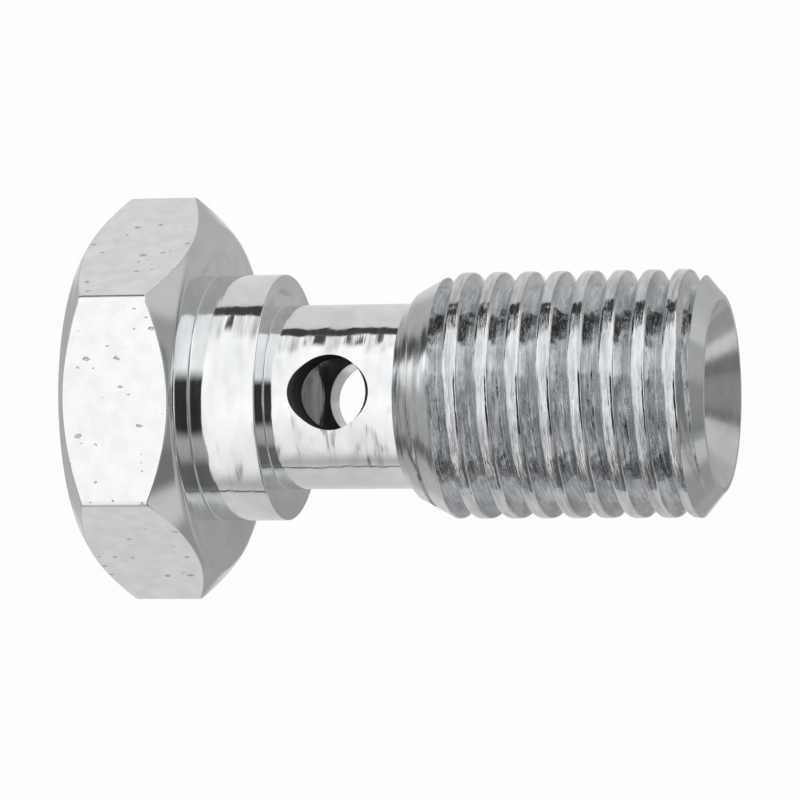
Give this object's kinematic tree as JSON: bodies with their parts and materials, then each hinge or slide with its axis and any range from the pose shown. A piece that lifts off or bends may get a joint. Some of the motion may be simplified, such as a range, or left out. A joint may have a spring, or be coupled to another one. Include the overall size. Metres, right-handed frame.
{
  "type": "banjo bolt",
  "caption": "Hollow hexagon-head bolt with a plain collar, a cross-drilled neck and a right-hand thread, which clamps a ring fitting and feeds fluid into it from its tip.",
  "frame": {"origin": "centre of the head's end face, on which the bolt stands", "axes": "+Z along the bolt's axis from the head to the thread's tip; two flats of the hexagon face -Y and +Y"},
  "size_m": [0.0196, 0.017, 0.0304],
  "materials": {
    "zinc_plated_steel": "bright zinc plating over turned steel"
  },
  "bodies": {
    "root": {"banjo_bolt": "zinc_plated_steel"}
  },
  "joints": []
}
